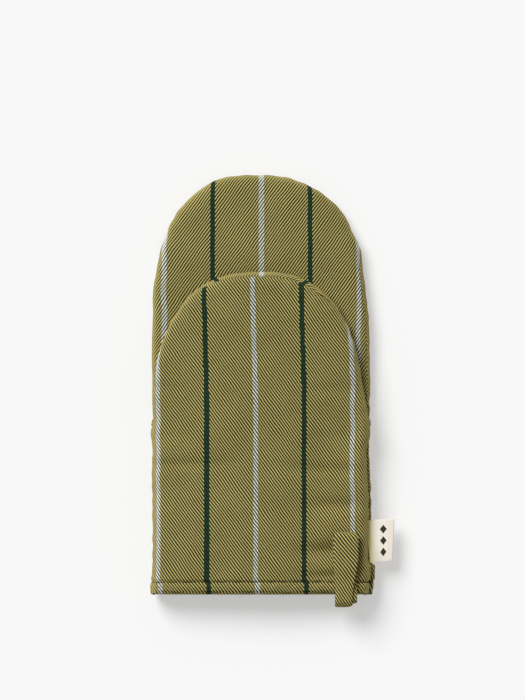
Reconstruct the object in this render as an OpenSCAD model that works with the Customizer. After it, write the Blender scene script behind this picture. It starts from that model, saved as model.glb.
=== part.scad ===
// Oven mitt with a finger pouch and a shorter thumb pouch that open like a mouth.
// It lies on its back: +Y runs from the cuff to the finger tip, +Z is up, towards the thumb pouch.
// The origin is in the middle of the cuff's back, on the face that the mitt rests on.
// Every panel is a quilt of three layers: a twill shell, a wadding and a lining.

/* [Mitt] */
// Length from the cuff edge to the finger tip
mitt_len = 300; // [285:1:315]
// Length from the cuff edge to the crease of the mouth
cuff_len = 121; // [112:1:130]
// Length of the thumb pouch from the crease to its tip
thumb_len = 110; // [100:1:116]
// Width across the cuff
cuff_w = 158; // [155:1:162]
// Width across the finger pouch
finger_w = 156; // [152:1:158]
// Width across the thumb pouch
thumb_w = 153; // [150:1:156]
// Height of each pouch as it lies flat
pouch_h = 14; // [13.6:0.1:15]
// Gap between the two pouches
pouch_gap = 0.4; // [0.3:0.1:0.8]

/* [Layers] */
// Thickness of the twill shell
shell_t = 0.8; // [0.7:0.1:1]
// Thickness of the wadding
wadding_t = 3; // [2.4:0.1:3.2]
// Thickness of the lining
lining_t = 0.6; // [0.4:0.1:0.6]

/* [Motion] */
// Angle to which the thumb pouch opens
thumb_open = 60; // [40:1:70]
// Angle to which the finger pouch bends back
finger_back = 30; // [15:1:30]

/* [Hem and stitching] */
// Depth of shell that is turned in at the cuff edge
hem_turn = 11; // [10:1:14]
// Distance of the topstitch from the cuff edge
topstitch_at = 9; // [6:0.5:9]
// Distance of the edge stitch from the cuff edge
edge_stitch_at = 2; // [1.5:0.5:3]
// Thickness of the sewing thread
thread_t = 0.5; // [0.3:0.1:0.5]

/* [Hanging loop] */
// Width of the loop's strap
strap_w = 17; // [12:1:20]
// Thickness of the strap
strap_t = 1.6; // [1.2:0.1:1.8]
// Distance of the loop from the middle of the mitt
loop_x = 60.5; // [40:0.5:62]
// Length of the loop that lies on the front
loop_len = 44; // [40:1:60]
// Clear height inside the loop
loop_gap = 5.6; // [5:0.1:7]
// Overhang of the strap past the cuff edge
loop_overhang = 9; // [9:0.5:12]
// Length of strap that is sewn inside the cuff
loop_tail_len = 12; // [11:1:20]

/* [Label] */
// Width of the woven label along the seam
label_w = 30; // [20:1:40]
// Length of label that stands out of the seam
label_out = 16.5; // [10:0.5:20]
// Thickness of the folded label
label_t = 0.8; // [0.6:0.1:1]
// Distance of the label from the cuff edge
label_at = 22; // [15:1:40]
// Depth of label that is caught in the seam
label_tail_len = 3; // [2.6:0.1:3]

/* [Hidden] */
$fn = 64;

// Places along the mitt
rest_face_at = 60; // from the cuff edge to the origin
hem_y = -rest_face_at;
crease_y = hem_y + cuff_len;
finger_end_y = hem_y + mitt_len;
thumb_end_y = crease_y + thumb_len;

// Heights of the pouches, and of the cuff that both open into
finger_low = 0;
finger_high = pouch_h;
thumb_low = pouch_h + pouch_gap;
thumb_high = 2 * pouch_h + pouch_gap;
mitt_high = thumb_high;
crease_z = mitt_high / 2;

// Layers as pairs of insets from the outer face
SHELL = [0, shell_t];
WADDING = [shell_t, shell_t + wadding_t];
LINING = [shell_t + wadding_t, shell_t + wadding_t + lining_t];
quilt_t = shell_t + wadding_t + lining_t;

FRONT = 1;
BACK = -1;
far = 400; // larger than the mitt, for cutting
cut_clearance = 1; // degrees left open where two panels close on each other
seam_inset = shell_t + 1.5; // from the outer edge to the seam's thread

// The strap wraps round the hem, whose inner face is the turned-in shell
hem_inner_z = mitt_high - quilt_t - shell_t;
strap_pair = 2 * strap_t;
strap_rest_gap = 0.2;
bend_z = (mitt_high + strap_rest_gap + hem_inner_z) / 2;
bend_inner_r = mitt_high + strap_rest_gap - bend_z;
bend_outer_r = bend_inner_r + strap_pair;
bend_y = hem_y - loop_overhang + bend_outer_r;
loop_end_r = loop_gap / 2 + strap_t;
loop_end_y = hem_y + loop_len - loop_end_r;
loop_end_z = mitt_high + strap_rest_gap + loop_end_r;
loop_mouth = 8; // from the cuff edge to where the two strands part
loop_shoulder = 8; // from the loop's end curve to where its upper strand starts to fall

seam_x = cuff_w / 2;
label_y = hem_y + label_at;
label_root_x = seam_x + 0.8; // clear of the seam as the label swings

shell_colour = "darkkhaki";
wadding_colour = "ivory";
lining_colour = "beige";
thread_colour = "darkolivegreen";
label_colour = "linen";

// ---- Sections, drawn with X across the mitt and Y for height ----

// Flat oval between two heights, inset from its outer edge
module oval(w, low, high, inset) {
    end_r = (high - low) / 2;
    reach = w / 2 - end_r;
    translate([0, (low + high) / 2]) {
        square([2 * reach, 2 * (end_r - inset)], center = true);
        for (side = [-1, 1])
            translate([side * reach, 0]) circle(r = end_r - inset);
    }
}

// Upper or lower half of one layer of an oval tube
module half_layer(w, low, high, layer, side) {
    middle = (low + high) / 2;
    intersection() {
        difference() {
            oval(w, low, high, layer[0]);
            oval(w, low, high, layer[1]);
        }
        translate([-far / 2, side == FRONT ? middle : middle - far]) square(far);
    }
}

module cuff_section(layer, side) half_layer(cuff_w, 0, mitt_high, layer, side);
module finger_section(layer, side) half_layer(finger_w, finger_low, finger_high, layer, side);
module thumb_section(layer, side) half_layer(thumb_w, thumb_low, thumb_high, layer, side);

// ---- Sweeps ----

// A section carried along Y
module along_y(from_y, to_y)
    translate([0, to_y, 0]) rotate([90, 0, 0]) linear_extrude(height = to_y - from_y) children();

// A profile in Y and Z, carried across X
module across_x(from_x, to_x)
    translate([from_x, 0, 0]) rotate([90, 0, 90]) linear_extrude(height = to_x - from_x) children();

// A section carried from the crease and round a half-circular tip
module pouch(w, end_y) {
    centre_y = end_y - w / 2;
    along_y(crease_y, centre_y) children();
    translate([0, centre_y, 0])
        rotate_extrude(angle = 180)
            intersection() {
                children();
                translate([0, -far / 2]) square(far);
            }
}

// ---- The zones beside the crease where the quilt folds as a pouch moves ----

module fold_zone(side) {
    half_angle = (side == FRONT ? thumb_open : finger_back) / 2 + cut_clearance;
    height = crease_z + 10;
    across_x(-far / 2, far / 2)
        translate([crease_y, crease_z])
            polygon([[0, 0], [-height * tan(half_angle), side * height],
                [height * tan(half_angle), side * height]]);
}

// ---- Panels ----

module cuff_band(side, layer)
    difference() {
        along_y(hem_y + (layer == SHELL ? 0 : shell_t), crease_y) cuff_section(layer, side);
        fold_zone(side);
    }

// The shell folds over the end of the quilt and runs back inside the cuff
module cuff_shell(side) {
    turned = [quilt_t, quilt_t + shell_t];
    difference() {
        union() {
            cuff_band(side, SHELL);
            along_y(hem_y, hem_y + shell_t) cuff_section([0, quilt_t + shell_t], side);
            along_y(hem_y, hem_y + hem_turn) cuff_section(turned, side);
        }
        stitch_ring(topstitch_at);
        stitch_ring(edge_stitch_at);
        label_slot();
    }
}

module cuff_wadding(side)
    difference() {
        cuff_band(side, WADDING);
        for (edge = [-1, 1]) side_seam(edge);
        label_slot();
    }

module flex_band(side, layer)
    intersection() {
        fold_zone(side);
        union() {
            along_y(hem_y + shell_t, crease_y) cuff_section(layer, side);
            if (side == FRONT)
                along_y(crease_y, thumb_end_y - thumb_w / 2) thumb_section(layer, FRONT);
            else
                along_y(crease_y, finger_end_y - finger_w / 2) finger_section(layer, BACK);
        }
    }

module finger_panel(side, layer)
    difference() {
        pouch(finger_w, finger_end_y) finger_section(layer, side);
        fold_zone(BACK);
        if (layer == WADDING) finger_seam();
    }

module thumb_panel(side, layer)
    difference() {
        pouch(thumb_w, thumb_end_y) thumb_section(layer, side);
        fold_zone(FRONT);
        if (layer == WADDING) thumb_seam();
    }

// The palm turns back on itself at the crease, and closes the cuff off between the two pouches
module mouth_fold(layer) {
    inner_r = pouch_gap / 2 + layer[0];
    outer_r = pouch_gap / 2 + layer[1];
    intersection() {
        across_x(-far / 2, far / 2)
            translate([crease_y, crease_z])
                difference() {
                    circle(r = outer_r);
                    circle(r = inner_r);
                    translate([0, -far / 2]) square(far);
                }
        along_y(hem_y, crease_y) oval(cuff_w, 0, mitt_high, quilt_t);
    }
    intersection() {
        fold_zone(FRONT);
        along_y(crease_y, thumb_end_y - thumb_w / 2) thumb_section(layer, BACK);
    }
    intersection() {
        fold_zone(BACK);
        along_y(crease_y, finger_end_y - finger_w / 2) finger_section(layer, FRONT);
    }
}

// ---- Threads ----

// Thread that runs right round the cuff, flush with the shell
module stitch_ring(from_edge)
    along_y(hem_y + from_edge - thread_t / 2, hem_y + from_edge + thread_t / 2)
        for (side = [FRONT, BACK]) cuff_section([0, thread_t], side);

module side_seam(edge)
    along_y(hem_y + shell_t, crease_y - 1)
        translate([edge * (cuff_w / 2 - seam_inset), crease_z]) square(thread_t, center = true);

// Thread round the edge of a pouch, halfway up it
module pouch_seam(w, end_y, middle_z)
    difference() {
        pouch(w, end_y)
            for (edge = [-1, 1])
                translate([edge * (w / 2 - seam_inset), middle_z]) square(thread_t, center = true);
        fold_zone(FRONT);
        fold_zone(BACK);
    }

module finger_seam() pouch_seam(finger_w, finger_end_y, (finger_low + finger_high) / 2);
module thumb_seam() pouch_seam(thumb_w, thumb_end_y, (thumb_low + thumb_high) / 2);

// ---- Loop and label ----

module across_strap()
    across_x(loop_x - strap_w / 2, loop_x + strap_w / 2) children();

// Row of thread that holds both ends of the strap
module tack_row()
    translate([loop_x - strap_w / 2 + 1, hem_y + topstitch_at - thread_t / 2, bend_z - bend_outer_r])
        cube([strap_w - 2, thread_t, strap_pair - 1]);

module label_slot()
    translate([seam_x - label_tail_len, label_y, crease_z - label_t / 2])
        cube([label_tail_len, label_w, label_t]);

// ---- Sub-parts ----

module front_shell_cuff() color(shell_colour) cuff_shell(FRONT);
module front_wadding_cuff() color(wadding_colour) cuff_wadding(FRONT);
module front_lining_cuff() color(lining_colour) cuff_band(FRONT, LINING);
module back_shell_cuff() color(shell_colour) cuff_shell(BACK);
module back_wadding_cuff() color(wadding_colour) cuff_wadding(BACK);
module back_lining_cuff() color(lining_colour) cuff_band(BACK, LINING);

module front_shell_flex() color(shell_colour) flex_band(FRONT, SHELL);
module front_wadding_flex() color(wadding_colour) flex_band(FRONT, WADDING);
module front_lining_flex() color(lining_colour) flex_band(FRONT, LINING);
module back_shell_flex() color(shell_colour) flex_band(BACK, SHELL);
module back_wadding_flex() color(wadding_colour) flex_band(BACK, WADDING);
module back_lining_flex() color(lining_colour) flex_band(BACK, LINING);

module mouth_fold_shell() color(shell_colour) mouth_fold(SHELL);
module mouth_fold_wadding() color(wadding_colour) mouth_fold(WADDING);
module mouth_fold_lining() color(lining_colour) mouth_fold(LINING);

module back_shell_finger() color(shell_colour) finger_panel(BACK, SHELL);
module back_wadding_finger() color(wadding_colour) finger_panel(BACK, WADDING);
module back_lining_finger() color(lining_colour) finger_panel(BACK, LINING);
module finger_palm_shell() color(shell_colour) finger_panel(FRONT, SHELL);
module finger_palm_wadding() color(wadding_colour) finger_panel(FRONT, WADDING);
module finger_palm_lining() color(lining_colour) finger_panel(FRONT, LINING);

module front_shell_thumb() color(shell_colour) thumb_panel(FRONT, SHELL);
module front_wadding_thumb() color(wadding_colour) thumb_panel(FRONT, WADDING);
module front_lining_thumb() color(lining_colour) thumb_panel(FRONT, LINING);
module thumb_palm_shell() color(shell_colour) thumb_panel(BACK, SHELL);
module thumb_palm_wadding() color(wadding_colour) thumb_panel(BACK, WADDING);
module thumb_palm_lining() color(lining_colour) thumb_panel(BACK, LINING);

module cuff_topstitch() color(thread_colour) stitch_ring(topstitch_at);
module cuff_edge_stitch() color(thread_colour) stitch_ring(edge_stitch_at);
module left_seam_thread() color(thread_colour) side_seam(-1);
module right_seam_thread() color(thread_colour) side_seam(1);
module finger_seam_thread() color(thread_colour) finger_seam();
module thumb_seam_thread() color(thread_colour) thumb_seam();

// Both ends of the strap, sewn under the turned-in hem
module loop_tail() {
    tail_end_y = hem_y + loop_tail_len;
    color(shell_colour)
        difference() {
            intersection() {
                across_strap()
                    translate([bend_y, bend_z - bend_outer_r]) square([tail_end_y - bend_y, strap_pair]);
                along_y(bend_y, tail_end_y) oval(cuff_w, 0, mitt_high, quilt_t + shell_t);
            }
            tack_row();
        }
}

module loop_tack() color(thread_colour) tack_row();

// The strap turns round the cuff edge here
module loop_bend()
    color(shell_colour) across_strap()
        translate([bend_y, bend_z]) difference() {
            circle(r = bend_outer_r);
            circle(r = bend_inner_r);
            translate([0, -far / 2]) square(far);
        }

// The free part of the loop: a flat lower strand and an upper one that stands off it
module hanging_loop() {
    low = mitt_high + strap_rest_gap;
    color(shell_colour) across_strap()
        difference() {
            union() {
                polygon([[bend_y, low], [loop_end_y, low], [loop_end_y, low + 2 * loop_end_r],
                    [loop_end_y - loop_shoulder, low + 2 * loop_end_r],
                    [hem_y + loop_mouth, low + strap_pair], [bend_y, low + strap_pair]]);
                translate([loop_end_y, loop_end_z]) circle(r = loop_end_r);
            }
            polygon([[hem_y + loop_mouth, low + strap_t], [loop_end_y, low + strap_t],
                [loop_end_y, low + strap_t + loop_gap],
                [loop_end_y - loop_shoulder, low + strap_t + loop_gap]]);
            translate([loop_end_y, loop_end_z]) circle(r = loop_gap / 2);
        }
}

// Both ends of the label, caught in the side seam
module label_tail()
    color(label_colour)
        difference() {
            label_slot();
            side_seam(1);
        }

// The short stretch of label that bends beside the seam
module label_fold()
    color(label_colour)
        translate([seam_x, label_y, crease_z - label_t / 2]) cube([label_root_x - seam_x, label_w, label_t]);

// Free part of the woven label, doubled, with its fold at the outer end
module label_tab() {
    leaf_gap = 0.1;
    leaf = (label_t - leaf_gap) / 2;
    length = label_out - (label_root_x - seam_x);
    color(label_colour)
        translate([label_root_x, label_y, crease_z - label_t / 2])
            difference() {
                cube([length, label_w, label_t]);
                translate([-1, -1, leaf]) cube([length - leaf + 1, label_w + 2, leaf_gap]);
            }
}

front_shell_cuff();
front_wadding_cuff();
front_lining_cuff();
back_shell_cuff();
back_wadding_cuff();
back_lining_cuff();
front_shell_flex();
front_wadding_flex();
front_lining_flex();
back_shell_flex();
back_wadding_flex();
back_lining_flex();
mouth_fold_shell();
mouth_fold_wadding();
mouth_fold_lining();
back_shell_finger();
back_wadding_finger();
back_lining_finger();
finger_palm_shell();
finger_palm_wadding();
finger_palm_lining();
front_shell_thumb();
front_wadding_thumb();
front_lining_thumb();
thumb_palm_shell();
thumb_palm_wadding();
thumb_palm_lining();
cuff_topstitch();
cuff_edge_stitch();
left_seam_thread();
right_seam_thread();
finger_seam_thread();
thumb_seam_thread();
loop_tail();
loop_tack();
loop_bend();
hanging_loop();
label_tail();
label_fold();
label_tab();
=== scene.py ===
"""Oven mitt: a finger pouch and a shorter thumb pouch share one cuff, with a hanging loop and a label.

Lengths are in millimetres until a mesh is made. Every panel is a shell, a wadding and a lining.
"""

import math

import bpy
import numpy as np
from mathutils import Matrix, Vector
from mathutils.bvhtree import BVHTree


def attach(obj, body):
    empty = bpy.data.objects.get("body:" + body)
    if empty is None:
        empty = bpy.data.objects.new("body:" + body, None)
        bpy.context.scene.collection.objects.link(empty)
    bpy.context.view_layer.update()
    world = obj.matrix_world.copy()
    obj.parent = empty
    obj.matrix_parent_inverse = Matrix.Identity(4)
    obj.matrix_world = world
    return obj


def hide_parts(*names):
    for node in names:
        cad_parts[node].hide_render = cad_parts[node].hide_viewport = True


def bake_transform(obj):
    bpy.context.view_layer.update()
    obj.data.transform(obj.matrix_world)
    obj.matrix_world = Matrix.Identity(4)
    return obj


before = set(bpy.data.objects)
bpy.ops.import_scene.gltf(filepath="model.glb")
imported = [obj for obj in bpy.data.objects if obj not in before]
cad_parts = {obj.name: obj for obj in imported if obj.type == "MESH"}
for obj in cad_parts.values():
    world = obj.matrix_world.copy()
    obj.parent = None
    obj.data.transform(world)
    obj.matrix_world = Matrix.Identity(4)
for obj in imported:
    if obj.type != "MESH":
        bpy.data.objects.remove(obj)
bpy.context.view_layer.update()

MM = 0.001
HEM, CREASE, AXIS_Z = -60.0, 61.0, 14.2
FINGER_TIP, THUMB_TIP = 240.0, 170.6
# How far below its tip each pouch starts to narrow.
FINGER_ROUND, THUMB_ROUND = 111.0, 105.0
TOPSTITCH, EDGE_STITCH = HEM + 9.0, HEM + 1.9
# Depths below the outside of a panel: the shell's inner face, and both faces of the other two layers.
SHELL_T, WADDING, LINING = 0.8, (1.05, 3.75), (3.85, 4.35)
# The shell's turn round the end of the quilt, and how far it goes back inside the cuff.
HEM_R, HEM_INSIDE = 2.62, 11
PALM_GAP = 0.2
# Shapes of a pouch's end seen from above, and of a rim seen from its end. An ellipse has 2 and 1.
POWER, FULLNESS = 2.5, 0.8
# Distance between the rows of points on a panel, and the rows round its rim.
SHELL_PITCH, SHELL_RINGS = 1.15, 16
INNER_PITCH, INNER_RINGS = 1.7, 8
HEM_STRIP, HEM_PITCH = 21.0, 0.5
FINGER_SIDE, THUMB_SIDE = -1, 1
NO_SEAM = 99.0


# ---- Helpers ----

def ramp(x, a, b):
    """Goes smoothly from 0 where x is a to 1 where x is b."""
    t = np.clip((x - a) / (b - a), 0, 1)
    return t * t * (3 - 2 * t)


def hump(x, centre, width):
    """A smooth bump, 1 high at the centre."""
    return np.exp(-(((x - centre) / width) ** 2))


def unit(v):
    return v / np.maximum(np.linalg.norm(v, axis=-1, keepdims=True), 1e-9)


def waves(seed, count, shortest, longest):
    """Smooth noise in the plane, from -1 to 1, as a sum of plane waves."""
    r = np.random.default_rng(seed)
    angle = r.uniform(0, 2 * np.pi, count)
    k = 2 * np.pi / np.exp(r.uniform(np.log(shortest), np.log(longest), count))
    phase = r.uniform(0, 2 * np.pi, count)

    def field(x, y):
        total = 0
        for a, kk, p in zip(angle, k, phase):
            total = total + np.sin(kk * (np.cos(a) * x + np.sin(a) * y) + p)
        return total / np.sqrt(count)

    return field


def line_noise(seed, shortest, longest):
    """The same along a line."""
    field = waves(seed, 7, shortest, longest)
    return lambda s: field(s, 0 * s)


# ---- Outlines, seen from above ----

def outline(tip, depth, left, right, base):
    """A U-shaped edge from its left foot, round the tip, to its right foot.
    left and right give the half-widths. Returns its points, and which of them are its two corners."""
    straight = tip - depth
    side = np.linspace(base, straight, 400)[:-1]
    th = np.linspace(0, np.pi, 1601)
    x = -np.sign(np.cos(th)) * np.abs(np.cos(th)) ** (2 / POWER)
    y = straight + depth * np.sin(th) ** (2 / POWER)
    xs = np.concatenate([-np.ones_like(side), x, np.ones_like(side)])
    ys = np.concatenate([side, y, side[::-1]])
    lean = 3.0 * ramp(ys, 228, 240)
    xs = np.where(xs < 0, -left(ys), right(ys)) * np.abs(xs) - lean
    return np.stack([xs, ys], 1), (len(side) + 400, len(side) + 1200)


def travelled(pts):
    """Distance along a line to each of its points."""
    return np.concatenate([[0], np.cumsum(np.linalg.norm(np.diff(pts, axis=0), axis=1))])


def at_run(pts, at):
    """The points of a line at given distances along it."""
    run = travelled(pts)
    return np.stack([np.interp(at, run, pts[:, i]) for i in range(pts.shape[1])], 1)


def resampled(pts, count):
    return at_run(pts, np.linspace(0, travelled(pts)[-1], count + 1))


def mitt_left(y):
    foot = 1.6 * ramp(-y, 44, 61)
    shoulder = 1.9 * hump(y, 215, 14)
    return 78.2 + foot + 0.8 * hump(y, 56, 5) + 0.3 * ramp(y, 80, 130) + shoulder


def below_label(x, y):
    """1 beside the hem on the right, where the back panel's ledge is wider."""
    return ramp(x, 0, 1) * ramp(-y, 36.5, 40)


def back_shows(x, y):
    """1 on the cuff's right side, where the back panel is the wider one and forms a ledge beside the seam."""
    return ramp(x, 0, 1) * ramp(-y, -52, -45)


def mitt_right(y):
    beside_hem = 3.6 * below_label(1, y) - 1.9 * ramp(-y, 44, 60)
    ledge = 0.9 * ramp(-y, -35, 5) * (1 - below_label(1, y))
    shoulder = 1.9 * hump(y, 187, 11) + 2.2 * hump(y, 216, 12)
    return 77.6 + ledge + beside_hem - 2.3 * ramp(y, 120, 160) + shoulder


def front_left(y):
    return mitt_left(y) - 0.9 * ramp(y, CREASE, 90)


def front_right(y):
    return mitt_right(y) - 1.85 * back_shows(1, y) - 1.35 * below_label(1, y) - 5.0 * ramp(y, CREASE, 95)


# ---- Where the seams run, and how round each side is ----

def rim_reach(p):
    """How far in from the outline a panel starts to turn down towards its seam."""
    x, y = p[:, 0], p[:, 1]
    right = ramp(x, 50, 70) * (3.8 * ramp(70 - y, 0, 30) + 3.0 * ramp(y, 40, 70) * (1 - ramp(y, 140, 175)))
    thumb_tip = 5.0 * ramp(y, 130, 160) * (1 - ramp(np.abs(x), 44, 76)) * (1 - ramp(y, 175, 180))
    return 11.0 - right + thumb_tip - 2.0 * ramp(y, 55, 95) + 6.5 * ramp(y, 190, 228)


def upper_seam_z(p):
    """Height of the seam round the thumb pouch, and on the cuff of the side seams."""
    x, y = p[:, 0], p[:, 1]
    right = 4.5 * ramp(x, 40, 60) * (1 - ramp(y, 125, 160))
    climb = (7.3 - right) * ramp(y, CREASE - 2, CREASE + 30)
    return AXIS_Z + climb - 1.3 * ramp(y, 135, 165) - back_shows(x, y)


def lower_seam_z(p):
    """The same round the finger pouch."""
    x, y = p[:, 0], p[:, 1]
    return AXIS_Z - 7.2 * ramp(y, CREASE - 2, CREASE + 30) - 1.5 * ramp(y, 195, 225) - back_shows(x, y)


def upper_seam_turn(p):
    """Angle round the rim, from the top, at which the thumb pouch's or the cuff's front panel ends."""
    x, y = p[:, 0], p[:, 1]
    over_tip = ramp(y, 128, 160) * (0.55 + 0.45 * ramp(x, -60, -10))
    level = np.maximum(hump(y, CREASE, 30), back_shows(x, y))
    return np.radians(97 - 7 * level - 51 * over_tip)


def lower_seam_turn(p):
    """The same for the finger pouch's palm, and on the cuff for the front panel."""
    x, y = p[:, 0], p[:, 1]
    over_side = ramp(x, 30, 50) * ramp(y, 64, 80) * (1 - ramp(y, 165, 195))
    level = np.maximum(hump(y, CREASE, 30), back_shows(x, y))
    return np.radians(97 - 7 * level - 62 * over_side - 46 * back_shows(x, y) - 15 * below_label(x, y))


# ---- Heights of each panel inside its rim ----

def front_top(x, y):
    hem_sag = 1.6 * ramp(-y, 5, 60) * (1 - 0.7 * hump(x, 60, 16))
    return 24.9 - hem_sag + 3.9 * hump(x, -11, 54) - 1.5 * ramp(y, 136, 170)


def thumb_under(x, y):
    return AXIS_Z + PALM_GAP + 0 * x


def palm_top(x, y):
    beyond = ramp(y, THUMB_TIP - 10, THUMB_TIP + 15)
    return AXIS_Z - PALM_GAP + beyond * (1.8 * hump(x, 0, 55) - 0.4 - 3.0 * ramp(y, 176, 250))


def back_under(x, y):
    return 0 * x


# ---- Panels ----

class Cloth:
    """One face of a panel. For each point: its place p, its place c on the flat cloth, its direction n out of
    the quilt, its distance to the seam and its run along the outline.
    rows go across the panel and rings round it."""

    def __init__(self):
        self.p = np.zeros((0, 3))
        self.c = np.zeros((0, 2))
        self.n = np.zeros((0, 3))
        self.seam = np.zeros(0)
        self.run = np.zeros(0)
        self.quads = np.zeros((0, 4), int)
        self.rows, self.rings = [], []

    def add(self, p, c, n, seam, run):
        start = len(self.p)
        self.p = np.concatenate([self.p, p])
        self.c = np.concatenate([self.c, c])
        self.n = np.concatenate([self.n, n])
        self.seam = np.concatenate([self.seam, seam])
        self.run = np.concatenate([self.run, run])
        return start + np.arange(len(p))

    def strip(self, a, b):
        """Faces between two equal rows of points."""
        self.quads = np.concatenate([self.quads, np.stack([a[:-1], a[1:], b[1:], b[:-1]], 1)])

    def normals(self):
        q, p = self.quads, self.p
        f = np.cross(p[q[:, 2]] - p[q[:, 0]], p[q[:, 3]] - p[q[:, 1]])
        n = np.zeros_like(p)
        for k in range(4):
            np.add.at(n, q[:, k], f)
        return unit(n)


def panel(edge, corners, height, other, seam_z, seam_turn, up, pitch, rings, turn_in=True, fine_hem=False):
    """A panel over a U-shaped outline. Its middle lies at height(x, y), and its rim curves to the seam, where
    it meets the panel at height other(x, y). up is 1 if the panel faces up and -1 if it faces down.
    turn_in adds the edge inside the seam. Returns the panel and the row of points along its foot."""
    cloth = Cloth()
    part = [edge[: corners[0] + 1], edge[corners[0] : corners[1] + 1], edge[corners[1] :][::-1]]
    over_n = round(travelled(part[1])[-1] / pitch)
    # The rows are closer together beside the hem, and each runs level from the left side to the right.
    side_length = travelled(part[0])[-1]
    hem_rows = np.arange(0, HEM_STRIP + HEM_PITCH, HEM_PITCH) / side_length if fine_hem else np.zeros(1)
    rest = round((1 - hem_rows[-1]) * side_length / pitch)
    rows = np.concatenate([hem_rows[:-1], np.linspace(hem_rows[-1], 1, rest + 1)])
    up_n = len(rows) - 1
    left, right = (at_run(e, rows * travelled(e)[-1]) for e in (part[0], part[2]))
    s = np.concatenate([left[:-1], resampled(part[1], over_n)[:-1], right[::-1]])
    d = unit(np.gradient(s, axis=0))
    # Below the crease the rim goes straight out to the side, so that the rows stay level.
    bend = ramp(s[:, 1], CREASE, CREASE + 50)[:, None]
    out = unit(bend * np.stack([-d[:, 1], d[:, 0]], 1) + (1 - bend) * np.sign(s[:, :1]) * [[1.0, 0.0]])
    reach = rim_reach(s)[:, None]
    core_edge = s - reach * out
    run = travelled(s) - travelled(s)[np.argmax(s[:, 1])]

    left, top = core_edge[: up_n + 1], core_edge[up_n : up_n + over_n + 1]
    right = core_edge[up_n + over_n :][::-1]
    u, v = np.linspace(0, 1, over_n + 1)[None, :, None], rows[:, None, None]
    foot = (1 - u) * left[0] + u * right[0]
    core = (
        (1 - v) * foot + v * top[None]
        + (1 - u) * left[:, None] + u * right[:, None]
        - ((1 - u) * (1 - v) * left[0] + u * (1 - v) * right[0] + (1 - u) * v * top[0] + u * v * top[-1])
    ).reshape(-1, 2)
    z = height(core[:, 0], core[:, 1])
    straight_up = np.tile([0, 0, float(up)], (len(core), 1))
    ids = cloth.add(np.column_stack([core, z]), core.copy(), straight_up, np.full(len(core), NO_SEAM), 0 * z)
    grid = ids.reshape(up_n + 1, over_n + 1)
    for row in range(up_n):
        cloth.strip(grid[row], grid[row + 1])
    border = np.concatenate([grid[:, 0][:-1], grid[-1, :][:-1], grid[:, -1][::-1]])

    base_z, mid_z = height(core_edge[:, 0], core_edge[:, 1]), seam_z(s)
    other_z = other(core_edge[:, 0], core_edge[:, 1])
    last = seam_turn(s)
    r = reach[:, 0]

    def tall(phi):
        """Height of the quarter of the rim that the angle phi from the top falls in."""
        return np.where(phi < np.pi / 2, np.abs(base_z - mid_z), np.abs(other_z - mid_z))

    def full(value, power=FULLNESS):
        return np.sign(value) * np.abs(value) ** power

    def rim_point(phi):
        z = mid_z + up * tall(phi) * full(np.cos(phi))
        return np.column_stack([core_edge + (r * full(np.sin(phi)))[:, None] * out, z])

    lengths, phis, before = [np.zeros(len(s))], [np.zeros(len(s))], rim_point(0 * last)
    for step in np.linspace(0, 1, rings + 1)[1:]:
        phis.append(last * (1 - (1 - step) ** 1.5))
        now = rim_point(phis[-1])
        lengths.append(lengths[-1] + np.linalg.norm(now - before, axis=1))
        before = now
    ring_ids = [border]
    for phi, length in zip(phis[1:], lengths[1:]):
        facing = full(np.sin(phi), 2 - FULLNESS)[:, None], full(np.cos(phi), 2 - FULLNESS)
        across = unit(np.column_stack([out * tall(phi)[:, None] * facing[0], up * r * facing[1]]))
        flat = core_edge + length[:, None] * out
        ring_ids.append(cloth.add(rim_point(phi), flat, across, lengths[-1] - length, run))
    if turn_in:
        onward = unit(np.column_stack([out * (r * facing[1])[:, None], -up * tall(last) * facing[0][:, 0]]))
        for depth, back in ((0.45, 0.05), (1.1, 0.06), (2.0, 0.06)):
            flat = core_edge + (lengths[-1] + depth)[:, None] * out
            inside = rim_point(last) - depth * across - back * onward
            ring_ids.append(cloth.add(inside, flat, across, 0 * run, run))
    for a, b in zip(ring_ids, ring_ids[1:]):
        cloth.strip(a, b)
    if up < 0:
        cloth.quads = cloth.quads[:, ::-1]
    cloth.rings = ring_ids
    sides = ring_ids[1:]
    cloth.rows = [np.concatenate([[r[k] for r in sides[::-1]], grid[k], [r[-1 - k] for r in sides]])
                  for k in range(up_n, -1, -1)]
    return cloth, cloth.rows[-1]


def extend(cloth, row, moved, along, up):
    """Adds rows below the foot: moved lists their points, and along the length of cloth that each takes."""
    for where, length in zip(moved, along):
        flat = cloth.c[row].copy()
        flat[:, 1] -= length
        new = cloth.add(where, flat, cloth.n[row], cloth.seam[row], cloth.run[row])
        a, b = (new, row) if up > 0 else (row, new)
        cloth.strip(a, b)
        cloth.rows.append(new)
        row = new
    return row


def turned_hem(cloth, row, up, inside):
    """The shell goes round the end of the quilt and back inside the cuff, more tightly near the seams."""
    p, n = cloth.p[row], cloth.n[row]
    y = np.array([0.0, 1.0, 0.0])
    at_side = np.maximum(ramp(np.abs(n[:, 0]), 0.3, 0.9), 1 - ramp(cloth.seam[row], 3, 9))
    r = HEM_R * (1 - 0.6 * at_side)[:, None]
    round_n, back_n, squareness = 12, 8, 0.55
    angles = np.linspace(0, np.pi, round_n + 1)
    moved = [p - (HEM_R - r + r * math.sin(a) ** squareness) * y - r * (1 - math.cos(a)) * n for a in angles]
    moved += [moved[-1] + (HEM_R - r + k) * y for k in np.linspace(0, inside, back_n + 1)[1:]]
    lengths = [0.05] + [HEM_R * math.pi / round_n] * round_n + [inside / back_n] * back_n
    return extend(cloth, row, moved, lengths, up)


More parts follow.
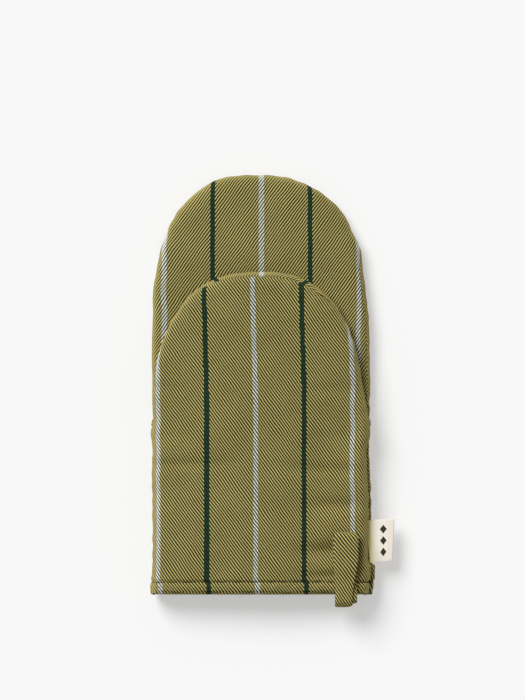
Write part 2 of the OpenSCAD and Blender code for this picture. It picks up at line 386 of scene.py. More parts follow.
def mouth_fold(cloth, row, up):
    """Half of the palm's fold at the crease."""
    p = cloth.p[row]
    r = np.abs(AXIS_Z - p[:, 2])
    side = np.sign(p[:, 2] - AXIS_Z)
    moved = []
    for a in np.radians([22.5, 45, 67.5, 90]):
        moved.append(np.column_stack([p[:, 0], p[:, 1] - r * math.sin(a), AXIS_Z + side * r * math.cos(a)]))
    return extend(cloth, row, moved, [PALM_GAP * math.pi / 8] * 4, up)


# ---- Relief: what the sewing and handling do to the cloth ----

pucker_a, pucker_b = line_noise(11, 7, 15), line_noise(12, 18, 45)
hem_a, hem_b = line_noise(21, 6, 14), line_noise(22, 20, 50)
soft = waves(31, 14, 14, 40)
broad = waves(32, 8, 40, 90)


def relief(cloth, kind, coarse):
    """How far each point moves out along its normal. coarse is for the wadding and the lining."""
    x, y = cloth.p[:, 0], cloth.p[:, 1]
    s, t, seam, run = cloth.c[:, 0], cloth.c[:, 1], cloth.seam, cloth.run
    d = (1.0 if kind == "front" else 0.35) * 0.10 * soft(s, t)
    # Beside the seams the cloth sinks in and puckers.
    pucker = seam / 3.2 * np.exp(1 - seam / 3.2)
    d = d - (0 if coarse else 0.55 - 0.15 * back_shows(x, y)) * np.exp(-seam / 0.9)
    d = d + (0.20 * pucker_a(run) + 0.16 * pucker_b(run)) * pucker * (0.4 if coarse else 1)
    if kind in ("front", "back"):
        # The topstitching pulls a furrow, and the hem swells on both sides of it.
        beside_seam = 1 - 0.6 * ramp(5 - seam, 0, 5)
        furrow = hump(t, TOPSTITCH, 2.6) * 0.45 if coarse else hump(t, TOPSTITCH, 0.85)
        d = d - (1.15 + 0.25 * hem_a(s)) * furrow * beside_seam
        above = 0.30 * hump(t, TOPSTITCH + 5.5, 4.5) * (0.5 + 0.6 * hem_b(s))
        if not coarse:
            d = d + 0.45 * hump(t, TOPSTITCH - 3.6, 2.2) * (1 + 0.5 * hem_a(s))
            d = d - 0.12 * hump(t, EDGE_STITCH, 0.7)
        d = d + above * (1 if kind == "front" else 0.2)
        d = d * ramp(t, HEM - 0.5, HEM + HEM_R)
    if kind == "palm":
        under_thumb = 1 - ramp(y, THUMB_TIP - 6, THUMB_TIP + 8)
        d = d * (1 - 0.8 * under_thumb)
    if kind == "thumb_palm":
        d = d * (1 - ramp(seam, 6, 12))
    if kind == "back":
        # What lies on the table stays flat.
        d = np.where(cloth.p[:, 2] < 2, np.minimum(d, 0), d) - 0.02
    return d


def crumple(p):
    """Folds and waves that the whole quilt takes together. Moves every layer alike."""
    x, y, z = p.T.copy()
    upper = ramp(z, 13.5, 24)
    lift = 0.35 * broad(x, y) * np.clip(z / 28.0, 0, 1.3)
    left, right = ramp(-x, 20, 74), ramp(x, 14, 70)
    beside_loop = hump(x, 47, 17)
    # Valleys that run across the mitt, each at its y, the deeper the nearer to its side.
    valleys = (
        1.50 * hump(y - 0.02 * x, 34.0, 4.3) * ramp(-x, -5, 55)
        + 0.40 * hump(y, 87.0, 5.0) * ramp(-x, 30, 60)
        + 0.45 * hump(y, 52.5, 4.5) * ramp(-x, 40, 64)
        + 0.45 * hump(y + 0.1 * x, -26.0, 6.0) * ramp(-x, 36, 60)
        + 2.20 * hump(y, 62.0, 24.0) * ramp(x, 22, 58)
        + 0.85 * hump(y, 86.0, 5.0) * ramp(x, 16, 46)
        + 0.45 * hump(y, 53.0, 4.5) * ramp(x, 28, 52)
        + 1.35 * hump(y + 0.03 * x, 30.5, 4.5) * ramp(x, -12, 46)
        + 2.50 * hump(y, 3.5, 5.5) * ramp(x, 20, 54)
        + 3.90 * hump(y + 0.06 * x, -26.5, 5.5) * beside_loop
        + 2.40 * hump(y, -47.0, 4.0) * beside_loop
    )
    lift = lift - upper * valleys * (1 - ramp(x, 60, 76))
    # The sides go in at the crease and in the middle of the cuff, and the outline wanders a little.
    squeeze = 0.5 * hump(y, CREASE + 4, 4.0) * hump(z, AXIS_Z + 1, 9) * (left + right)
    waist = 0.6 * hump(y, 22, 9) * right * upper + 0.3 * hump(y, 30, 6) * left * upper
    around = np.arctan2(y - 150, x)
    tip = ramp(y, 185, 215)
    # Round the finger tip it ripples, and the tip is a little higher on the left.
    ripple = tip * (0.5 * np.sin(5.1 * around + 0.6) + 0.3 * np.sin(9.3 * around + 2.0))
    edge = line_noise(41, 16, 50)
    wander = (0.30 * edge(y) * left - 0.30 * edge(y + 97) * right) * (1 - tip)
    x = x - np.sign(x) * (squeeze + waist) - wander + 0.35 * ripple * x / 80
    y = y + ripple * ramp(y, 170, 235) * 0.8 - 0.026 * x * ramp(y, 208, 238)
    return np.column_stack([x, y, z + lift])


# ---- Meshes ----

def mesh_object(name, points, faces, flat=None, material=None):
    """A smooth mesh of points in millimetres. flat holds their places on the flat cloth, for the weave."""
    mesh = bpy.data.meshes.new(name)
    mesh.from_pydata((np.asarray(points) * MM).tolist(), [], faces)
    if flat is not None:
        attribute = mesh.attributes.new("cloth", "FLOAT_VECTOR", "POINT")
        attribute.data.foreach_set("vector", np.asarray(flat, np.float32).ravel())
    mesh.polygons.foreach_set("use_smooth", np.full(len(mesh.polygons), True))
    mesh.update()
    o = bpy.data.objects.new(name, mesh)
    bpy.context.scene.collection.objects.link(o)
    if material:
        mesh.materials.append(material)
    return o


def closed(points, normals, quads, outer, inner):
    """The two faces of a layer, outer and inner deep in the quilt, and the strip round its edge."""
    count = len(points)
    a, b = quads.ravel(), np.roll(quads, -1, axis=1).ravel()
    keys, back = a * count + b, b * count + a
    rim = ~np.isin(keys, back)
    ea, eb = a[rim], b[rim]
    side = np.stack([eb, ea, ea + count, eb + count], 1)
    faces = np.concatenate([quads, quads[:, ::-1] + count, side])
    return np.concatenate([points - outer * normals, points - inner * normals]), faces.tolist()


def finished(name, cloth, layer, kind, material, coarse):
    """The mesh of a layer. The third number its material reads is how steep the layer is, for painted light
    on the rims.
    """
    # How steep each point is, which the twill paints lighter as painted light on the rims.
    painted_rim_light = ramp(1 - np.abs(unit(cloth.n)[:, 2]), 0.03, 0.45)
    # The edge that is turned in at a seam moves with the seam, not sideways into the other panel.
    n = np.where((cloth.seam < 0.01)[:, None] | coarse, unit(cloth.n), cloth.normals())
    cloth.p = crumple(cloth.p + n * relief(cloth, kind, coarse)[:, None])
    cloth.n = cloth.normals()
    points, faces = closed(cloth.p, cloth.n, cloth.quads, *layer)
    flat = np.column_stack([cloth.c, painted_rim_light])
    return mesh_object(name, points, faces, np.concatenate([flat, flat]), material)


# ---- Materials ----

class Nodes:
    """Short names for the shader nodes in use."""

    def __init__(self, material):
        material.use_nodes = True
        self.tree = material.node_tree
        self.tree.nodes.clear()
        self.out = self.tree.nodes.new("ShaderNodeOutputMaterial")

    def put(self, socket, value):
        if isinstance(value, bpy.types.NodeSocket):
            self.tree.links.new(value, socket)
        elif isinstance(value, (tuple, list)) and len(value) == 3 and socket.type == "RGBA":
            socket.default_value = (*value, 1)
        else:
            socket.default_value = value

    def math(self, operation, a, b=0.0, c=0.0):
        node = self.tree.nodes.new("ShaderNodeMath")
        node.operation = operation
        for socket, value in zip(node.inputs, (a, b, c)):
            self.put(socket, value)
        return node.outputs[0]

    def mix(self, share, a, b, blend="MIX"):
        node = self.tree.nodes.new("ShaderNodeMix")
        node.data_type = "RGBA"
        node.blend_type = blend
        self.put(node.inputs[0], share)
        self.put(node.inputs[6], a)
        self.put(node.inputs[7], b)
        return node.outputs[2]

    def cloth(self):
        """Place across and along the flat cloth, how steep it is, for painted light on the rims, and the
        place as one vector.
        """
        node = self.tree.nodes.new("ShaderNodeAttribute")
        node.attribute_name = "cloth"
        split = self.tree.nodes.new("ShaderNodeSeparateXYZ")
        self.put(split.inputs[0], node.outputs["Vector"])
        flat = self.tree.nodes.new("ShaderNodeCombineXYZ")
        self.put(flat.inputs[0], split.outputs[0])
        self.put(flat.inputs[1], split.outputs[1])
        return split.outputs[0], split.outputs[1], split.outputs[2], flat.outputs[0]

    def noise(self, vector, scale, detail=2.0):
        node = self.tree.nodes.new("ShaderNodeTexNoise")
        self.put(node.inputs["Vector"], vector)
        node.inputs["Scale"].default_value = scale
        node.inputs["Detail"].default_value = detail
        return node.outputs[0]

    def smooth(self, value, low, high, start=0.0, end=1.0):
        node = self.tree.nodes.new("ShaderNodeMapRange")
        node.interpolation_type = "SMOOTHSTEP"
        for socket, v in zip(node.inputs, (value, low, high, start, end)):
            self.put(socket, v)
        return node.outputs[0]

    def shade(self, colour, height=None, distance=0.1, strength=1.0, roughness=0.9):
        shader = self.tree.nodes.new("ShaderNodeBsdfPrincipled")
        self.put(shader.inputs["Base Color"], colour)
        shader.inputs["Roughness"].default_value = roughness
        shader.inputs["Specular IOR Level"].default_value = 0.05
        if height is not None:
            bump = self.tree.nodes.new("ShaderNodeBump")
            bump.inputs["Strength"].default_value = strength
            bump.inputs["Distance"].default_value = distance * MM
            self.put(bump.inputs["Height"], height)
            self.put(shader.inputs["Normal"], bump.outputs[0])
        self.put(self.out.inputs[0], shader.outputs[0])


WARP_PITCH, WEFT_PITCH = 0.55, 0.7625
STRIPE_HALF = 1.75
WARP, WARP_2 = (0.695, 0.54, 0.170), (0.655, 0.595, 0.230)
WEFT = (0.018, 0.035, 0.010)
GREEN = (0.032, 0.082, 0.052)
WHITE = (0.86, 0.88, 0.80)


def twill(name, lean, stripes=None, drift=()):
    """Two-up two-down twill. lean is 1 where its ribs climb to the right and -1 where they fall.
    stripes is (pitch, place of a white stripe), and every second stripe is green. drift lists (low, high,
    change), by which the stripes move to the side between two places along the cloth."""
    material = bpy.data.materials.new(name)
    n = Nodes(material)
    s, t, painted_rim_light, cloth = n.cloth()
    # Which yarns cross here, which one is on top, and how far along it this place is.
    wobble = n.math("MULTIPLY_ADD", n.noise(cloth, 0.05), 3.2, -1.6)
    t2 = n.math("ADD", t, wobble)
    s2 = n.math("MULTIPLY_ADD", n.noise(cloth, 0.13), 0.7, s)
    warp, weft = n.math("DIVIDE", s2, WARP_PITCH), n.math("DIVIDE", t2, WEFT_PITCH)
    i, j = n.math("FLOOR", warp), n.math("FLOOR", weft)
    a, b = n.math("SUBTRACT", warp, i), n.math("SUBTRACT", weft, j)
    phase = n.math("FLOORED_MODULO", n.math("SUBTRACT" if lean > 0 else "ADD", i, j), 4)
    on_top = n.math("LESS_THAN", phase, 1.5)
    along_warp = n.math("SUBTRACT", 1, b) if lean > 0 else b
    q_warp = n.math("MULTIPLY", n.math("ADD", phase, along_warp), 0.5)
    q_weft = n.math("MULTIPLY", n.math("ADD", n.math("SUBTRACT", phase, 2), a), 0.5)

    def arch(v, power):
        return n.math("POWER", n.math("SINE", n.math("MULTIPLY", v, math.pi)), power)

    warp_h = n.math("MULTIPLY", arch(a, 0.6), arch(q_warp, 0.5))
    weft_h = n.math("MULTIPLY", n.math("MULTIPLY", arch(b, 0.6), arch(q_weft, 0.5)), 0.62)
    height = n.math("ADD", n.math("MULTIPLY", on_top, warp_h),
                    n.math("MULTIPLY", n.math("SUBTRACT", 1, on_top), weft_h))
    each = n.tree.nodes.new("ShaderNodeCombineXYZ")
    n.put(each.inputs[0], n.math("MULTIPLY", i, 7.31))
    n.put(each.inputs[1], n.math("MULTIPLY", t, 0.12))
    colour = n.mix(n.smooth(n.noise(each.outputs[0], 1.0, 1.0), 0.3, 0.7), WARP, WARP_2)
    least = 0.0
    if stripes:
        pitch, place = stripes
        where = n.math("SUBTRACT", n.math("MULTIPLY", n.math("ADD", i, 0.5), WARP_PITCH), place)
        for low, high, change in drift:
            where = n.math("SUBTRACT", where, n.smooth(t, low, high, 0.0, change))
        nearest = n.math("ROUND", n.math("DIVIDE", where, pitch))
        off = n.math("ABSOLUTE", n.math("SUBTRACT", where, n.math("MULTIPLY", nearest, pitch)))
        inside = n.math("LESS_THAN", off, STRIPE_HALF)
        odd = n.math("FLOORED_MODULO", nearest, 2)
        band = n.mix(odd, WHITE, GREEN)
        colour = n.mix(inside, colour, band)
        least = n.math("MULTIPLY", n.math("MULTIPLY", inside, n.math("SUBTRACT", 1, odd)), 0.65)
    # Steep sides are painted lighter, as painted light on the rims: the gaps between the ribs take the yarn's
    # colour.
    weft = n.mix(n.math("MULTIPLY", painted_rim_light, 0.62), WEFT, colour)
    yarn = n.mix(on_top, weft, colour)
    fleck = n.smooth(n.noise(cloth, 3.1, 3.0), 0.3, 0.7, 0.86, 1.12)
    patch = n.smooth(n.noise(cloth, 0.035), 0.3, 0.7, 0.95, 1.05)
    # The yarns are painted darker towards their edges and darkest in the gaps, as painted shade; a white
    # stripe's yarns keep at least 0.65.
    bright = n.math("MAXIMUM", n.math("MULTIPLY_ADD", height, 1.22, 0.01), least)
    lit = n.math("MULTIPLY", n.math("MULTIPLY", bright, fleck), patch)
    shaded = n.mix(1.0, yarn, lit, "MULTIPLY")
    n.shade(shaded, height, 0.22, 0.7)
    return material


def plain_weave(name, colour, pitch):
    shade_depth = 0.35
    material = bpy.data.materials.new(name)
    n = Nodes(material)
    s, t, _, cloth = n.cloth()
    a = n.math("ABSOLUTE", n.math("SINE", n.math("MULTIPLY", s, math.pi / pitch)))
    b = n.math("ABSOLUTE", n.math("SINE", n.math("MULTIPLY", t, math.pi / pitch)))
    height = n.math("MULTIPLY", a, b)
    # The yarns are painted darker between them, as painted shade.
    tone = n.math("MULTIPLY", n.math("MULTIPLY_ADD", height, shade_depth, 1 - shade_depth / 2),
                  n.smooth(n.noise(cloth, 0.3, 4.0), 0.3, 0.7, 0.94, 1.04))
    n.shade(n.mix(1.0, colour, tone, "MULTIPLY"), height, 0.1, 0.5)
    return material


def woven_label(name):
    """Cream taffeta with a yellow edge beside the seam and three small lozenges."""
    material = bpy.data.materials.new(name)
    n = Nodes(material)
    s, t, _, cloth = n.cloth()
    weave = n.math("MULTIPLY", n.math("ABSOLUTE", n.math("SINE", n.math("MULTIPLY", s, 9.0))),
                   n.math("ABSOLUTE", n.math("SINE", n.math("MULTIPLY", t, 12.0))))
    edge = n.smooth(n.math("ADD", t, n.math("MULTIPLY", n.noise(cloth, 0.4), 0.8)), 2.6, 5.2, 1.0, 0.0)
    ground = n.mix(edge, (0.885, 0.817, 0.716), (0.93, 0.85, 0.45))
    for centre in (-8.2, 0.0, 8.2):
        across = n.math("DIVIDE", n.math("ABSOLUTE", n.math("SUBTRACT", s, centre)), 3.3)
        far = n.math("ADD", across, n.math("DIVIDE", n.math("ABSOLUTE", n.math("SUBTRACT", t, 11.0)), 2.5))
        ground = n.mix(n.smooth(far, 0.9, 1.0, 1.0, 0.0), ground, (0.03, 0.04, 0.025))
    # The weave is painted a little darker between its yarns, as painted shade.
    shaded = n.mix(1.0, ground, n.math("MULTIPLY_ADD", weave, 0.12, 0.93), "MULTIPLY")
    n.shade(shaded, weave, 0.05, 0.4, roughness=0.7)
    return material


def plain(name, colour, roughness=0.9):
    material = bpy.data.materials.new(name)
    Nodes(material).shade(colour, roughness=roughness)
    return material


# The front's stripes jump at the topstitching and lean a little towards the thumb tip.
FRONT_DRIFT = ((-51.5, -50.0, -1.5), (75, 165, -2.0))
front_twill = twill("front_twill", -1, (34.8, -2.5), FRONT_DRIFT)
palm_twill = twill("palm_twill", 1, (34.9, 0.2))
back_twill = twill("back_twill", -1, (34.8, 6.0))
strap_twill = twill("strap_twill", -1)
wadding_cloth = plain("wadding", (0.78, 0.76, 0.70))
lining_cloth = plain_weave("lining", (0.62, 0.55, 0.38), 0.45)
# The thread is nearly black: partly its own dark colour, partly painted shade of the furrows and seam grooves
# it lies in.
thread_and_furrow_shade = plain("thread", (0.030, 0.021, 0.008), 0.7)
label_cloth = woven_label("label")


# ---- Panels made up ----

mitt = outline(FINGER_TIP, FINGER_ROUND, mitt_left, mitt_right, HEM + HEM_R)
front = outline(THUMB_TIP, THUMB_ROUND, front_left, front_right, HEM + HEM_R)
finger = outline(FINGER_TIP, FINGER_ROUND, mitt_left, mitt_right, CREASE)
thumb = outline(THUMB_TIP, THUMB_ROUND, front_left, front_right, CREASE)


def turn_over(cloth, kind):
    """The back is cut the other way round. The palms are one piece of cloth that goes on over the fold."""
    if kind == "back":
        cloth.c = cloth.c * [-1, 1]
    if kind == "thumb_palm":
        cloth.c = np.column_stack([cloth.c[:, 0], 2 * CREASE - cloth.c[:, 1]])


def palm_inner_turn(p):
    """Where the wadding and the lining of a pouch's palm end, short of the other panel's."""
    return np.radians(30 + 48 * ramp(p[:, 1], CREASE, CREASE + 34))


def outer_inner_turn(p):
    """Where those of the front and the back end."""
    return np.radians(np.full(len(p), 82.0))


def under_front(x, y):
    return np.where(y < CREASE, back_under(x, y), thumb_under(x, y))


def over_back(x, y):
    """On the cuff's right side the back panel stops short of the front, in a ledge."""
    ledge = 9.9 * ramp(back_shows(x, y), 0, 0.5)
    return np.where(y < CREASE, front_top(x, y) - ledge, palm_top(x, y))


def from_below(turn):
    return lambda p: np.pi - turn(p)


# For each: its outline and corners, its height, that of the panel it is sewn to, the height of the seam,
# where the shell and then the inner layers end, which way it faces, and its twill.
PANELS = {
    "front": (front, front_top, under_front, upper_seam_z, upper_seam_turn, outer_inner_turn, 1, front_twill),
    "back": (mitt, back_under, over_back, lower_seam_z, from_below(lower_seam_turn), outer_inner_turn, -1,
             back_twill),
    "palm": (finger, palm_top, back_under, lower_seam_z, lower_seam_turn, palm_inner_turn, 1, palm_twill),
    "thumb_palm": (thumb, thumb_under, front_top, upper_seam_z, from_below(upper_seam_turn), palm_inner_turn,
                   -1, palm_twill),
}
NODES = {
    "front": ["front_%s_cuff", "front_%s_flex", "front_%s_thumb"],
    "back": ["back_%s_cuff", "back_%s_flex", "back_%s_finger"],
    "palm": ["finger_palm_%s", "mouth_fold_%s"],
    "thumb_palm": ["thumb_palm_%s", "mouth_fold_%s"],
}
shells, layers = {}, {}
for kind, (edge, height, other, seam_z, turn, inner_turn, up, shell_cloth) in PANELS.items():
    on_cuff = kind in ("front", "back")
    cloth, row = panel(*edge, height, other, seam_z, turn, up, SHELL_PITCH, SHELL_RINGS, fine_hem=on_cuff)
    if on_cuff:
        turned_hem(cloth, row, up, HEM_INSIDE)
    else:
        mouth_fold(cloth, row, up)
    turn_over(cloth, kind)
    shells[kind] = cloth
    layers[kind, "shell"] = finished(f"quilt_{kind}_shell", cloth, (0, SHELL_T), kind, shell_cloth, False)
    for what, depth, material in (("wadding", WADDING, wadding_cloth), ("lining", LINING, lining_cloth)):
        cloth, row = panel(*edge, height, other, seam_z, inner_turn, up, INNER_PITCH, INNER_RINGS,
                           turn_in=False)
        if not on_cuff:
            mouth_fold(cloth, row, up)
        layers[kind, what] = finished(f"quilt_{kind}_{what}", cloth, depth, kind, material, True)


# ---- Baking the panels, hiding the parts they replace, and measuring their flat cuts ----


def across_crease(o):
    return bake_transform(o)


def flat_size(o):
    """Width, length and area of the layer's flat cut, in metres."""
    mesh = o.data
    c = np.zeros(len(mesh.vertices) * 3, np.float32)
    mesh.attributes["cloth"].data.foreach_get("vector", c)
    c = c.reshape(-1, 3)[:, :2].astype(float) * MM
    mesh.calc_loop_triangles()
    t = np.zeros(len(mesh.loop_triangles) * 3, np.int32)
    mesh.loop_triangles.foreach_get("vertices", t)
    a, b, d = (c[t.reshape(-1, 3)[:, k]] for k in range(3))
    area = np.abs((b - a)[:, 0] * (d - a)[:, 1] - (b - a)[:, 1] * (d - a)[:, 0]).sum() / 4
    width, length = c.max(0) - c.min(0)
    return (float(width), float(length)), float(area)


for (kind, what), o in layers.items():
    side = THUMB_SIDE if kind in ("front", "thumb_palm") else FINGER_SIDE
    across_crease(o)
    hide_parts(*[node % what for node in NODES[kind]])
    size, area = flat_size(o)


# ---- Threads ----

def stitches(path, normal, length, gap, radius, lift, sink):
    """Separate stitches along a path. Each rises by lift in its middle and dips by sink at its ends."""
    run = travelled(path)
    count = int(run[-1] // (length + gap))
    pitch = run[-1] / count
    rings, sides = 7, 6
    share = np.linspace(-0.5, 0.5, rings)
    width = radius * np.sqrt(np.maximum(1 - (2 * share) ** 6, 0.06))
    around = np.arange(sides) * 2 * np.pi / sides
    points, faces = [], []
    for k in range(count):
        at = (k + 0.5) * pitch + share * (pitch - gap)
        c = np.stack([np.interp(at, run, path[:, i]) for i in range(3)], 1)
        n = unit(np.stack([np.interp(at, run, normal[:, i]) for i in range(3)], 1))
        c = c + n * (lift - (lift + sink) * (2 * share) ** 2)[:, None]
        along = unit(np.gradient(c, axis=0))
        side = unit(np.cross(along, n))
        up = np.cross(side, along)
        circle = np.cos(around)[None, :, None] * side[:, None] + np.sin(around)[None, :, None] * up[:, None]
        start = len(points) * rings * sides
        points.append((c[:, None] + width[:, None, None] * circle).reshape(-1, 3))
        for a in range(rings - 1):
            for b in range(sides):
                c0, c1 = start + sides * a + b, start + sides * a + (b + 1) % sides
                faces.append((c0, c1, c1 + sides, c0 + sides))
        faces.append(tuple(start + sides - 1 - b for b in range(sides)))
        faces.append(tuple(start + sides * (rings - 1) + b for b in range(sides)))
    return np.concatenate(points), faces


def joined(name, parts, material):
    """One mesh of several lists of points and faces."""
    points, faces, start = [], [], 0
    for p, f in parts:
        points.append(p)
        faces += [tuple(start + i for i in face) for face in f]
        start += len(p)
    return mesh_object(name, np.concatenate(points), faces, material=material)


def row_at(cloth, t):
    """The path across a panel at distance t along its cloth, from seam to seam, and its normals."""
    rows = cloth.rows
    level = [cloth.c[r][len(r) // 2, 1] for r in rows]
    k = next(i for i in range(len(rows) - 1) if level[i] >= t > level[i + 1])
    share = (level[k] - t) / (level[k] - level[k + 1])
    # The three points at each end of a row are turned in at the seam.
    a, b = rows[k][3:-3], rows[k + 1][3:-3]
    p = cloth.p[a] + share * (cloth.p[b] - cloth.p[a])
    return p, unit(cloth.n[a] + share * (cloth.n[b] - cloth.n[a]))


def seam_line(cloth, low, high):
    """The path along a panel's turned-in edge, its normals, and which points have y from low to high."""
    ids = cloth.rings[-2]
    inside = (cloth.p[ids][:, 1] > low) & (cloth.p[ids][:, 1] < high)
    return cloth.p[ids], cloth.n[ids], inside


def sewn(name, rows, material, node, length=2.3, gap=0.4, radius=0.21, lift=0.05, sink=0.2):
    """Rows of stitches in one piece that replaces a node."""
    o = joined(name, [stitches(p, n, length, gap, radius, lift, sink) for p, n in rows], material)
    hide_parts(*node)
    return o


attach(sewn("stitches_hem", [row_at(shells[k], TOPSTITCH) for k in ("front", "back")], thread_and_furrow_shade,
             ["cuff_topstitch"], radius=0.36, lift=0.14), "cuff")
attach(sewn("stitches_edge", [row_at(shells[k], EDGE_STITCH) for k in ("front", "back")], thread_and_furrow_shade,
             ["cuff_edge_stitch"], length=2.0), "cuff")

p, n, on_cuff = seam_line(shells["front"], HEM - 5, CREASE - 1)
half_way = len(p) // 2
for name, part in (("left", np.arange(len(p)) < half_way), ("right", np.arange(len(p)) >= half_way)):
    keep = on_cuff & part
    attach(sewn(f"stitches_{name}_seam", [(p[keep], n[keep])], thread_and_furrow_shade, [f"{name}_seam_thread"], lift=0,
                 sink=0), "cuff")
for kind, pouch, side in (("front", "thumb", THUMB_SIDE), ("back", "finger", FINGER_SIDE)):
    p, n, on_cuff = seam_line(shells[kind], HEM - 5, CREASE)
    o = sewn(f"stitches_{pouch}_seam", [(p[~on_cuff], n[~on_cuff])], thread_and_furrow_shade, [f"{pouch}_seam_thread"],
             lift=0, sink=0)
    across_crease(o)


# ---- Strap and label ----

def band(name, path, side, half, thick, material, turn=1, puff=0.0):
    """A flat tube of cloth along path, and its length. side and half are its direction across and its
    half-width at each point of path. puff is how much thicker it is in its middle than at its edges."""
    run = travelled(path)
    normal = unit(np.cross(side, unit(np.gradient(path, axis=0))))
    r = thick / 2
    edge = np.linspace(-np.pi / 2, np.pi / 2, 6)
    flat = np.linspace(-1, 1, 21)
    # Each point round the tube is a share of the half-width, and a step out from there across and through it.
    outer = [(f, 0, -r, f * half[0]) for f in flat]
    rim = half[0] + np.pi * r
    right = [(1, r * np.cos(a), r * np.sin(a), half[0] + (a + np.pi / 2) * r) for a in edge[1:-1]]
    inner = [(f, 0, r, rim + (1 - f) * half[0]) for f in flat[::-1]]
    left = [(-1, -r * np.cos(a), r * np.sin(a), -half[0] - (a + np.pi / 2) * r) for a in edge[::-1][1:-1]]
    inner = [(f, d, e, s if f > 0 else -rim - (1 + f) * half[0]) for f, d, e, s in inner]
    round_it = np.array(outer + right + inner + left, float)
    m = len(round_it)
    full = 1 + puff * (np.sqrt(np.maximum(1 - round_it[:, 0] ** 2, 0)) - 0.7)
    across = round_it[None, :, 0:1] * half[:, None, None] + round_it[None, :, 1:2]
    grid = path[:, None] + across * side[:, None] + (round_it[:, 2] * full)[None, :, None] * normal[:, None]
    flat_at = np.stack(np.broadcast_arrays(round_it[None, :, 3], turn * run[:, None], 0.0), -1).reshape(-1, 3)
    wave = puff * 0.35 * soft(round_it[None, :, 0] * 8 + 40, run[:, None])
    grid = grid + wave[:, :, None] * normal[:, None]
    k = np.arange(m)
    faces = []
    for i in range(len(path) - 1):
        a, b = i * m + k, i * m + (k + 1) % m
        faces += np.stack([a, b, b + m, a + m], 1).tolist()
    faces.append(k[::-1].tolist())
    faces.append(((len(path) - 1) * m + k).tolist())
    o = mesh_object(name, grid.reshape(-1, 3), faces, flat_at, material)
    return o, float(run[-1])


def curve(points, pitch, soften):
    """A smooth path through points, one for each pitch of length."""
    points = np.asarray(points, float)
    path = resampled(points, max(8, round(travelled(points)[-1] / pitch)))
    for _ in range(soften):
        path[1:-1] = (path[:-2] + 2 * path[1:-1] + path[2:]) / 4
    return path


def bow(y, z, r, first, last):
    """Points of an arc about (y, z), from one angle to another in degrees."""
    return [(y + r * math.cos(a), z + r * math.sin(a)) for a in np.radians(np.linspace(first, last, 13))]


def surface_z(x, y):
    """Height of the cuff's front at a place, seen from above."""
    hit = shell_tree.ray_cast((x * MM, y * MM, 0.1), (0, 0, -1))
    return hit[0].z / MM


STRAP_T, STRAP_HALF, STRAP_CLEAR = 1.5, 7.9, 0.25
# Its two strands turn round the hem at BEND_Y with these radii. At its far end it turns back with LOOP_R.
BEND_Y, TAIL_Y, INNER_R, OUTER_R, LOOP_R = -62.9, -51.5, 3.7, 5.25, 3.3
mesh = layers["front", "shell"].data
shell_tree = BVHTree.FromPolygons([v.co for v in mesh.vertices], [f.vertices[:] for f in mesh.polygons])
# The lower strand rests on the highest of the cloth under it.
highest = [(y, max(surface_z(x, y) for x in (53, 57, 61, 65, 68))) for y in range(-56, -16, 4)]
rest = [(y, z + STRAP_CLEAR + STRAP_T / 2) for y, z in highest]
lip = rest[0][1]
round_z = lip - INNER_R
lower = [(TAIL_Y, round_z - INNER_R), (-60, round_z - INNER_R), *bow(BEND_Y, round_z, INNER_R, 270, 90)]
end_z = rest[-1][1] + LOOP_R
upper = [(-21.0, end_z + LOOP_R - 0.1), (-27, end_z + LOOP_R - 0.5), (-38, lip + 4.9), (-50, lip + 2.6),
         (-58, lip + 1.75), *bow(BEND_Y, round_z, OUTER_R, 90, 270), (-60.0, round_z - OUTER_R),
         (TAIL_Y, round_z - OUTER_R)]
yz = curve(lower + rest + bow(-18.9, end_z, LOOP_R, -90, 90) + upper, 0.8, 3)
# back_down is 0 on the lower strand and 1 on the upper one. low_down grows towards the hem.
passed = travelled(yz)
far_end = passed[np.argmax(yz[:, 0])]
back_down = ramp(passed, far_end - 6, far_end + 6)
low_down = ramp(-yz[:, 0], 30, 64)
x = (1 - back_down) * (59.4 + 1.9 * low_down) + back_down * (60.5 - 1.7 * low_down)
half = STRAP_HALF - low_down * (1.6 + 0.7 * back_down) - 1.1 * hump(yz[:, 0], -14.9, 1.8)
roll = np.radians(3 * back_down * ramp(-yz[:, 0], 14, 40) + 4 * low_down)
yaw = np.radians(6 * low_down)
path = np.column_stack([x, yz])
side = unit(np.column_stack([np.cos(roll), np.sin(yaw), np.sin(roll)]))
strap, strap_length = band("strap", path, side, half, STRAP_T, strap_twill, -1, 0.6)
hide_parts("loop_tail", "loop_tack", "loop_bend", "hanging_loop")
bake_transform(strap)

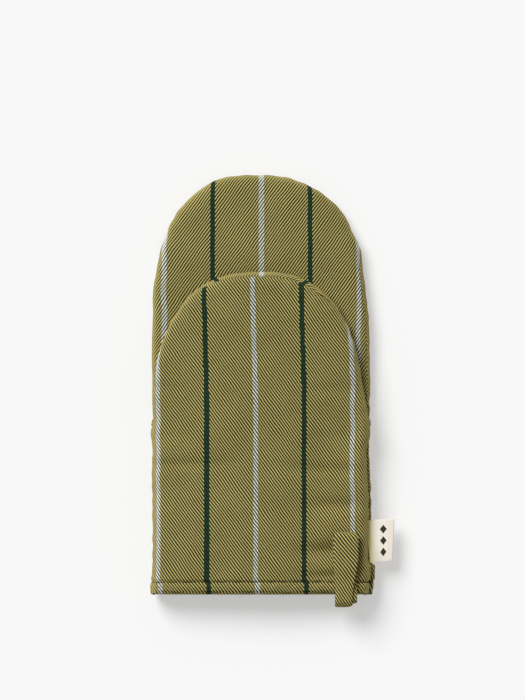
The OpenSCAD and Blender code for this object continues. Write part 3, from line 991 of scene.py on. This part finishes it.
LABEL_T, LEAF_GAP, LABEL_HALF, LABEL_Y, SEAM_X = 0.34, 0.06, 15, -22.2, 79
leaf = (LABEL_T + LEAF_GAP) / 2
out_to = 94.1
top_leaf = [(76.2, leaf * 0.6), (SEAM_X, leaf), (84, leaf + 0.15), (90, leaf), (out_to, leaf - 0.5)]
under_leaf = [(q, z - 2 * leaf) for q, z in top_leaf[::-1]]
xz = curve(top_leaf + [(out_to + leaf * 1.2, top_leaf[-1][1] - leaf)] + under_leaf, 0.35, 1)
path = np.column_stack([xz[:, 0], np.full(len(xz), LABEL_Y), AXIS_Z + xz[:, 1] + leaf])
tilt = math.radians(3.8)
path[:, 1] += (path[:, 0] - SEAM_X) * math.tan(tilt)
side = np.tile([-math.sin(tilt), math.cos(tilt), 0.0], (len(path), 1))
label, label_length = band("woven_label", path, side, np.full(len(path), LABEL_HALF), LABEL_T, label_cloth)
# It stands out from the seam a little more at its upper end than at its lower one.
for v in label.data.vertices:
    v.co.x += (v.co.x - SEAM_X * MM) * 0.12 * (v.co.y + 0.0218) / (LABEL_HALF * MM)
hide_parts("label_tail", "label_fold", "label_tab")
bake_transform(label)


# ---- Stage, light and camera ----

def paper():
    """White board that glows a little, so that the shadow on it is pale."""
    material = bpy.data.materials.new("paper")
    n = Nodes(material)
    n.shade((0.52, 0.52, 0.52), roughness=1.0)
    shader = n.out.inputs[0].links[0].from_node
    shader.inputs["Emission Color"].default_value = (1, 1, 1, 1)
    shader.inputs["Emission Strength"].default_value = 0.40
    return material


def stage():
    """The floor, the light, and the camera that looks straight down."""
    bpy.ops.mesh.primitive_plane_add(size=8, location=(0, 0, 0))
    floor = bpy.context.object
    floor.name = "floor"
    floor.data.materials.append(paper())
    world = bpy.data.worlds.new("world")
    bpy.context.scene.world = world
    world.use_nodes = True
    background = world.node_tree.nodes["Background"]
    background.inputs[0].default_value = (1, 1, 1, 1)
    background.inputs[1].default_value = 0.36
    sun = bpy.data.lights.new("sun", "SUN")
    sun.energy = 3.05
    sun.angle = math.radians(32)
    lamp = bpy.data.objects.new("sun", sun)
    bpy.context.scene.collection.objects.link(lamp)
    lamp.rotation_euler = Vector((0.64, -0.80, -1.0)).to_track_quat("-Z", "Y").to_euler()
    camera = bpy.data.objects.new("camera", bpy.data.cameras.new("camera"))
    bpy.context.scene.collection.objects.link(camera)
    # A long lens from far away, since the photo has almost no perspective.
    sensor, distance, view_height = 36, 5.0, 0.501
    camera.location = (0.0007, 0.1147, distance + AXIS_Z * MM)
    camera.data.lens = sensor * distance / view_height
    camera.data.sensor_fit = "VERTICAL"
    camera.data.sensor_height = sensor
    camera.data.clip_end = 20
    bpy.context.scene.camera = camera
    bpy.context.scene.view_settings.view_transform = "Standard"


stage()
